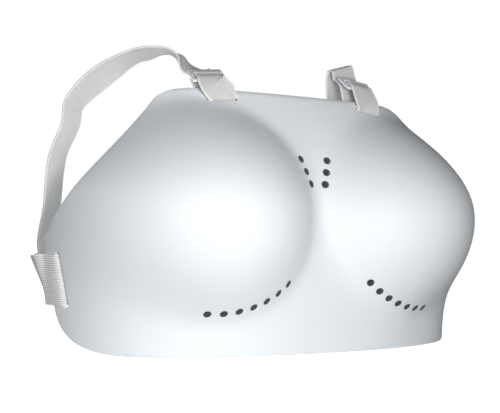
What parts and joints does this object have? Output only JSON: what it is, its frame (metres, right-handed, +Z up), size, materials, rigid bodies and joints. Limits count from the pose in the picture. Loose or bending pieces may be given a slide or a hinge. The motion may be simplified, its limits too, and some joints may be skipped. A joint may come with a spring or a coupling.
{
  "type": "chest protector",
  "caption": "Rigid moulded chest protector with two rounded cups, vent holes, elastic shoulder straps on bar sliders and an elastic back band.",
  "frame": {"origin": "middle of the lower rim's wall, at the front centre of the shell; the shell stands on this rim", "axes": "-Y points to the front of the shell, away from the wearer; +Z is up; X = 0 is the plane of symmetry of the shell, +X is the right side as seen from the front"},
  "size_m": [0.4322, 0.1886, 0.2475],
  "materials": {
    "plastic": "white moulded plastic, soft sheen",
    "slider": "white moulded plastic, satin",
    "strap": "woven elastic webbing, ribbed",
    "band": "wide woven elastic, cross ribs",
    "thread": "stitching thread"
  },
  "bodies": {
    "shell": {"shell": "plastic", "left_band_end": "band", "left_band_seam": "thread", "right_band_end": "band", "right_band_seam": "thread"},
    "left_loop": {"left_strap_loop": "strap"},
    "left_adjuster": {"left_slider": "slider", "left_strap_wrap": "strap"},
    "left_strap": {"left_shoulder_strap": "strap", "left_strap_seam": "thread"},
    "right_loop": {"right_strap_loop": "strap"},
    "right_adjuster": {"right_slider": "slider", "right_strap_wrap": "strap"},
    "right_strap": {"right_shoulder_strap": "strap", "right_strap_seam": "thread"},
    "back_band": {"back_band": "band"}
  },
  "joints": [
    {"name": "left_loop_swing", "type": "hinge", "parent": "shell", "child": "left_loop", "pos_m": [-0.07572, 0.04857, 0.20571], "axis": [-0.9926, 0.086, -0.0859], "range_deg": [-12, 12], "stiffness_Nm_per_rad": 0.05},
    {"name": "left_adjuster_slide", "type": "slide", "parent": "left_loop", "child": "left_adjuster", "axis": [0.0587, 0.7801, 0.6229], "range_m": [0, 0.0016]},
    {"name": "left_strap_swing", "type": "hinge", "parent": "left_loop", "child": "left_strap", "pos_m": [-0.08336, 0.06315, 0.22234], "axis": [-0.9926, 0.086, -0.0859], "range_deg": [-11, 11]},
    {"name": "right_loop_swing", "type": "hinge", "parent": "shell", "child": "right_loop", "pos_m": [0.07572, 0.04857, 0.20571], "axis": [-0.9926, -0.086, 0.0859], "range_deg": [-12, 12], "stiffness_Nm_per_rad": 0.05},
    {"name": "right_adjuster_slide", "type": "slide", "parent": "right_loop", "child": "right_adjuster", "axis": [-0.0587, 0.7801, 0.6229], "range_m": [0, 0.0016]},
    {"name": "right_strap_swing", "type": "hinge", "parent": "right_loop", "child": "right_strap", "pos_m": [0.06822, 0.06185, 0.22646], "axis": [-0.9926, -0.086, 0.0859], "range_deg": [-11, 11]},
    {"name": "back_band_swing", "type": "hinge", "parent": "shell", "child": "back_band", "pos_m": [0, 0.12432, 0.06781], "axis": [1, 0, 0], "range_deg": [-35, 30], "stiffness_Nm_per_rad": 0.15}
  ],
  "couplings": [
    {"joint": "left_strap_swing", "follows": "left_loop_swing", "ratio": -0.83},
    {"joint": "right_strap_swing", "follows": "right_loop_swing", "ratio": -0.8}
  ]
}
